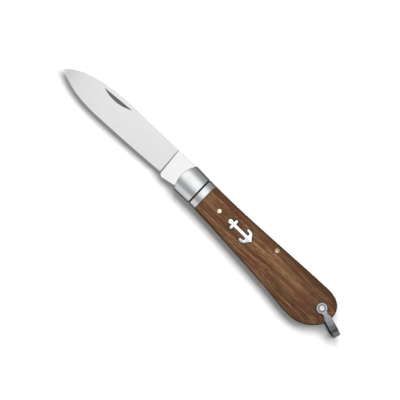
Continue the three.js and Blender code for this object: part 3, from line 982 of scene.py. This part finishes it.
def blade_rows():
    """Rows from tip to tang, close together where the surface turns, leaning near the plunge line."""
    ahead, behind = (upright(x) for x in LEANING_ROWS)
    quarter = np.linspace(0, math.pi / 2, 40)[1:]
    rows = [upright(TIP_X + (BELLY_FOOT[0] - TIP_X) * (1 - math.cos(a))) for a in quarter]
    rows += [upright(x) for x in np.linspace(BELLY_FOOT[0], LEANING_ROWS[0], 34)[1:]]
    rows += rows_between(ahead, plunge_x, (0.2, 0.4, 0.6, 0.75, 0.86, 0.93, 0.983, 1.0))
    rows += rows_between(plunge_x, wall_end, (0.2, 0.4, 0.55, 0.7, 0.8, 0.88, 0.94, 0.98, 1.0))
    rows += rows_between(wall_end, behind, (0.1, 0.25, 0.42, 0.6, 0.8, 1.0))
    shoulder = NOSE_X - SHOULDER_GAP
    rows += [upright(x) for x in np.linspace(LEANING_ROWS[1], shoulder, 22)[1:]]
    tang = shoulder + 0.02
    quarter = np.linspace(0, math.pi / 2, 24)[:-1]
    rows += [upright(tang + (CAM_RADIUS - tang) * math.sin(a)) for a in quarter]
    return rows + [upright(CAM_RADIUS - 0.001)]


def bevel_height(x, height):
    """How far up the edge bevel reaches. Behind the plunge line it is only a broken corner."""
    return min(KICK_BEVEL if x > plunge_x(HEEL[1]) else EDGE_BEVEL, 0.4 * height)


def blade_half(x, y, low, high):
    """Half the blade's thickness: ground flat to its edge, with a curved wall up to the ricasso."""
    height = max(high - low, 1e-6)
    bevel = min(1.0, (y - low) / bevel_height(x, height))
    taper = 1 - TIP_TAPER * max(0.0, (TAPER_START_X - x) / (TAPER_START_X - TIP_X)) ** 2
    edge, spine = GROUND_EDGE_HALF * taper, GROUND_SPINE_HALF * taper
    ground = edge + (spine - edge) * (y - low) / height
    if bevel < 1:
        ground = KEEN_HALF + (edge - KEEN_HALF) * bevel
    wall = min(1.0, max(0.0, (x - plunge_x(y)) / plunge_width(y)))
    wall = 1 - math.sqrt(1 - wall * wall)
    softened = TANG_HALF - CHAMFER * (bevel < 0.2)
    half = ground + (softened - ground) * wall
    return half - CHAMFER * (high - y < 1e-6)


def blade_mesh():
    inner = np.linspace(0.06, 0.97, 16)
    vertices = []
    rows = blade_rows()
    for row in rows:
        low, high = HEEL[1], SPINE_Y
        for _ in range(6):
            low, high = blade_low(row(low)), blade_high(row(high))
        height = high - low
        bevel = bevel_height(row(low), height)
        chamfer = min(CHAMFER, 0.1 * height)
        ys = [low, low + bevel] + [low + bevel + (height - bevel - chamfer) * share for share in inner]
        ys += [high - chamfer, high]
        side = [(row(y), y, blade_half(row(y), y, low, high)) for y in ys]
        vertices += side + [(x, y, -z) for x, y, z in reversed(side)] + [side[0]]
    columns = len(vertices) // len(rows)
    faces = grid_faces(len(rows), columns)
    faces.append(list(range(columns - 1)))
    faces.append([(len(rows) - 1) * columns + c for c in range(columns - 1)][::-1])
    return mesh_of(vertices, faces, 1e-3)


def nick_cutter():
    """A half-moon prism, leaned so that it is deep along its straight side and runs out at the other."""
    half = NICK["length"] / 2
    bowl = [(-half, 2), (half, 2), (half, 0)] + quadratic((half, 0), (0, -2 * NICK["depth"]), (-half, 0), 40)
    mesh = slab(bowl, 0, 2 * NICK["width"])
    fall = (GROUND_SPINE_HALF - GROUND_EDGE_HALF) / (SPINE_Y - height_at(BLADE_EDGE, NICK["at"][0]))
    rise = math.atan2(NICK["depth"], NICK["width"])
    x, y = NICK["at"]
    face_z = blade_half(x, y, blade_low(x), blade_high(x))
    lean = Matrix.Rotation(math.pi / 2 - rise + math.atan(fall), 4, "X")
    mesh.transform(Matrix.Translation((x, y, face_z)) @ Matrix.Rotation(NICK["tilt"], 4, "Z") @ lean)
    return mesh


def make_blade(satin, nick_shade, painted_shade_steel):
    mesh = blade_mesh()
    give(mesh, [satin, nick_shade, painted_shade_steel])
    # the nick's faces get painted shade
    mesh = cut(mesh, [nick_cutter()], 1)
    # the plunge wall's faces get painted shade
    for face in mesh.polygons:
        x, y, _ = face.center
        if 0 < x - plunge_x(y) < plunge_width(y) and HEEL[1] < y < SPINE_Y - CHAMFER:
            face.material_index = 2
    piece("blade_ground", mesh, [satin, nick_shade, painted_shade_steel], "blade", ["blade"], 12)


# ---- Shackle -------------------------------------------------


def bow_runs():
    """Half the strip as straight runs, each with the turn after it: from the eye, down a slope, across."""
    turn = math.pi / 4
    lost = BOW_RADIUS * math.tan(turn / 2)
    start = SHACKLE_END - STRIP / 2 - BOW_SLOPE
    across = SHACKLE_OUTER - STRIP / 2 - BOW_SLOPE
    return [(start - lost, turn), (BOW_SLOPE * math.sqrt(2) - 2 * lost, turn), (across - lost, 0.0)]


def strip_outline():
    """The shackle's strip laid flat, from one eye to the other."""
    length = 2 * sum(run + turn * BOW_RADIUS for run, turn in bow_runs())
    half = arc((0, 0), EYE, math.pi, math.asin((NECK + NECK_FLARE) / EYE), 30)
    half += quadratic(half[-1], (3.3, NECK), (4.2, NECK), 6)
    half += bezier(half[-1], (4.8, NECK), (BAND_START - 1, BAND), (BAND_START, BAND), 10)
    whole = half + [(length - x, y) for x, y in reversed(half)]
    return whole + [(x, -y) for x, y in reversed(whole[1:-1])], length


def bend_places(length):
    """Places along the flat strip where it has to have edges to bend."""
    places, s = [length / 2], 0.0
    for run, turn in bow_runs():
        s += run
        arc_length = turn * BOW_RADIUS
        places += [s + arc_length * share for share in np.linspace(0, 1, 7)] if turn else []
        s += arc_length
    return places + [length - place for place in places[1:]]


def bent(point, length):
    """A point of the flat strip, outer face up, moved onto the bent and slightly skewed shackle."""
    s, y, up = point
    side = 1
    if s > length / 2:
        s, side = length - s, -1
    x, z, heading = 0.0, SHACKLE_OUTER - STRIP / 2, 0.0
    for run, turn in bow_runs():
        step = min(s, run) if turn else s
        x += step * math.cos(heading)
        z -= step * math.sin(heading)
        sweep = max(0.0, min((s - step) / BOW_RADIUS, turn))
        x += BOW_RADIUS * (math.sin(heading + sweep) - math.sin(heading))
        z -= BOW_RADIUS * (math.cos(heading) - math.cos(heading + sweep))
        heading += sweep
        s -= step + sweep * BOW_RADIUS
        if s <= 0:
            break
    x += up * math.sin(heading)
    z = side * (z + up * math.cos(heading))
    angle = SHACKLE_ANGLE - SKEW * (SHACKLE_OUTER - z) / (2 * SHACKLE_OUTER)
    flat = Matrix.Rotation(angle, 2) @ Vector((x, y)) + RIVET.to_2d()
    return flat.x, flat.y, z


def strip_finish(face):
    """Slot of a face's finish: painted shade inside, a painted highlight on the rounded outer edges, or
    plain.
    """
    if face.normal.z < -0.9:
        return 1
    return 2 if 0.1 < face.normal.z < 0.9 else 0


def eye_cutter(middle_x):
    """The hole in an eye, and the dish round it on the outside."""
    top = STRIP / 2
    floor = top - DISH_DEPTH
    hole = [(0, -2), (EYE_HOLE, -2), (EYE_HOLE, floor)]
    dish = [(EYE_DISH - 0.12, floor), (EYE_DISH + 0.05, top + 0.01), (EYE_DISH, 2), (0, 2)]
    return lathe(hole + dish, (middle_x, 0))


def make_shackle(steel, inner_shade, edge_highlight):
    """The strip with its dished eyes, bent round."""
    outline, length = strip_outline()
    mesh = slab(outline, -STRIP / 2, STRIP / 2, STRIP_BEVEL, 4)
    give(mesh, [steel, inner_shade, edge_highlight])
    # inner faces get painted shade, the rounded outer edges a painted highlight
    for face in mesh.polygons:
        face.material_index = strip_finish(face)
    mesh = cut(mesh, [eye_cutter(0), eye_cutter(length)])
    slice_mesh(mesh, 0, bend_places(length))
    for vertex in mesh.vertices:
        vertex.co = bent(vertex.co, length)
    piece("shackle_strip", mesh, [steel, inner_shade, edge_highlight], "shackle", ["shackle"], 8)


def make_rivet(steel):
    """Shank and two low, flattened heads, each with the dimple that peening leaves."""
    low, high = cad_box("shackle_rivet")
    head = (high.x - low.x) / 2
    seat = SHACKLE_OUTER - RIVET_SEAT
    dome = [(RIVET_SHANK, seat - 0.05)]
    dome += [(head - inset, seat + rise) for inset, rise in RIVET_RIM]
    dome += [(head * share, RIVET_TOP - depth) for share, depth in RIVET_CROWN]
    profile = [(r, -z) for r, z in reversed(dome)] + dome
    mesh = lathe(profile, RIVET.to_2d())
    piece("shackle_rivet_domed", mesh, [steel], "handle", ["shackle_rivet"])


# ---- Floor, light and camera ---------------------------------

VIEW_TURN = math.radians(43.5)  # the knife's length runs from the upper left to the lower right
VIEW_LEAN = math.radians(1.5)  # the camera stands a little to the belly's side
VIEW_MIDDLE = Vector((10.12, -1.57, 0))
VIEW_DISTANCE = 1.6
VIEW_WIDTH = 0.2129
LIGHT_HEIGHT = 0.9
SOFTBOXES = (  # name, tilts in degrees off upright towards the spine, length, radiance, and what sees it
    ("key", (8, 27.5), 0.7, 11.3, "diffuse"),
    ("reflection_core", (-2, 24), 1.2, 0.6, "glossy"),
    ("reflection_wide", (-8, 35.5), 1.2, 0.38, "glossy"),
    ("reflection_fill", (-78, -30), 1.2, 0.5, "glossy"),
)
WORLD_ABOVE = 0.42
WORLD_BELOW = 0.14
WORLD_FADE = (-0.1, 0.5)  # how far up a direction points where the world starts and ends to brighten
FLOOR_HALF = 1.5


def make_floor():
    low = CAD_BOUNDS[0].z
    material, tree, shader = new_material("pale_floor", Roughness=0.9, Specular_IOR_Level=0.1)
    speckle = noise(tree, (300, 300, 300), detail=2)
    tone = mix(tree, between(tree, speckle, 0.3, 0.7), (0.9, 0.9, 0.9, 1), (0.93, 0.93, 0.93, 1))
    tree.links.new(tone, shader.inputs["Base Color"])
    signs = ((-1, -1), (1, -1), (1, 1), (-1, 1))
    mesh = bpy.data.meshes.new("floor")
    mesh.from_pydata([(x * FLOOR_HALF, y * FLOOR_HALF, low) for x, y in signs], [], [(0, 1, 2, 3)])
    give(mesh, [material])
    floor = add_object("floor", mesh)
    floor.visible_glossy = False


def softbox(name, tilts, length, radiance, seen_by):
    """A rectangular light above the knife, between two tilts."""
    low, high = (math.radians(tilt) for tilt in tilts)
    angle = (low + high) / 2
    width = 2 * LIGHT_HEIGHT * math.tan((high - low) / 2)
    light = bpy.data.lights.new(name, "AREA")
    light.shape = "RECTANGLE"
    light.size = length
    light.size_y = width
    light.energy = radiance * math.pi * length * width
    made = add_object(name, light)
    made.location = (0, math.sin(angle) * LIGHT_HEIGHT, math.cos(angle) * LIGHT_HEIGHT)
    made.rotation_euler = (-angle, 0, 0)
    made.visible_camera = False
    made.visible_diffuse = seen_by == "diffuse"
    made.visible_glossy = seen_by == "glossy"


def make_world():
    """Pale all round for the camera, dimmer for the rest, and darkest from below."""
    world = bpy.data.worlds.new("studio")
    bpy.context.scene.world = world
    world.use_nodes = True
    tree = world.node_tree
    tree.nodes.clear()
    upward = node(tree, "SeparateXYZ", Vector=node(tree, "TexCoord").outputs["Generated"]).outputs["Z"]
    around = between(tree, upward, *WORLD_FADE, WORLD_BELOW, WORLD_ABOVE)
    seen = node(tree, "LightPath").outputs["Is Camera Ray"]
    strength = math_node(tree, "MAXIMUM", around, seen)
    background = node(tree, "Background", Color=(1, 1, 1, 1), Strength=strength)
    output = node(tree, "OutputWorld")
    tree.links.new(background.outputs[0], output.inputs["Surface"])


def make_light():
    for settings in SOFTBOXES:
        softbox(*settings)
    make_world()


def make_camera():
    data = bpy.data.cameras.new("camera")
    data.sensor_width = 36
    data.lens = data.sensor_width * VIEW_DISTANCE / VIEW_WIDTH
    data.clip_end = 10
    camera = add_object("camera", data)
    middle = Matrix.Translation(PIVOT + VIEW_MIDDLE * MM)
    view = Matrix.Rotation(VIEW_LEAN, 4, "X") @ Matrix.Rotation(VIEW_TURN, 4, "Z")
    camera.matrix_world = middle @ view @ Matrix.Translation((0, 0, VIEW_DISTANCE))
    bpy.context.scene.camera = camera


# ---- The knife -----------------------------------------------

bpy.context.scene.view_settings.view_transform = "Standard"
make_camera()
make_floor()
make_light()

metals = {name: metal(name, *settings) for name, settings in METALS.items()}
make_scales(wood_material(), gap_shade_material())
make_bolsters(metals["bolster_steel"], metals["groove_painted_shade"])
make_plates(metals["liner_steel"], metals["spring_steel"])
make_pins(metals["brass"], metals["brass_painted_highlight"], metals["bolster_steel"])
make_anchor(metals["nickel_silver"])
make_blade(blade_material(), metals["nick_painted_shade"], metals["plunge_painted_shade"])
make_shackle(metals["shackle_steel"], metals["inner_painted_shade"], metals["edge_painted_highlight"])
make_rivet(metals["rivet_steel"])
finish_hidden_pins(metals["spring_steel"])
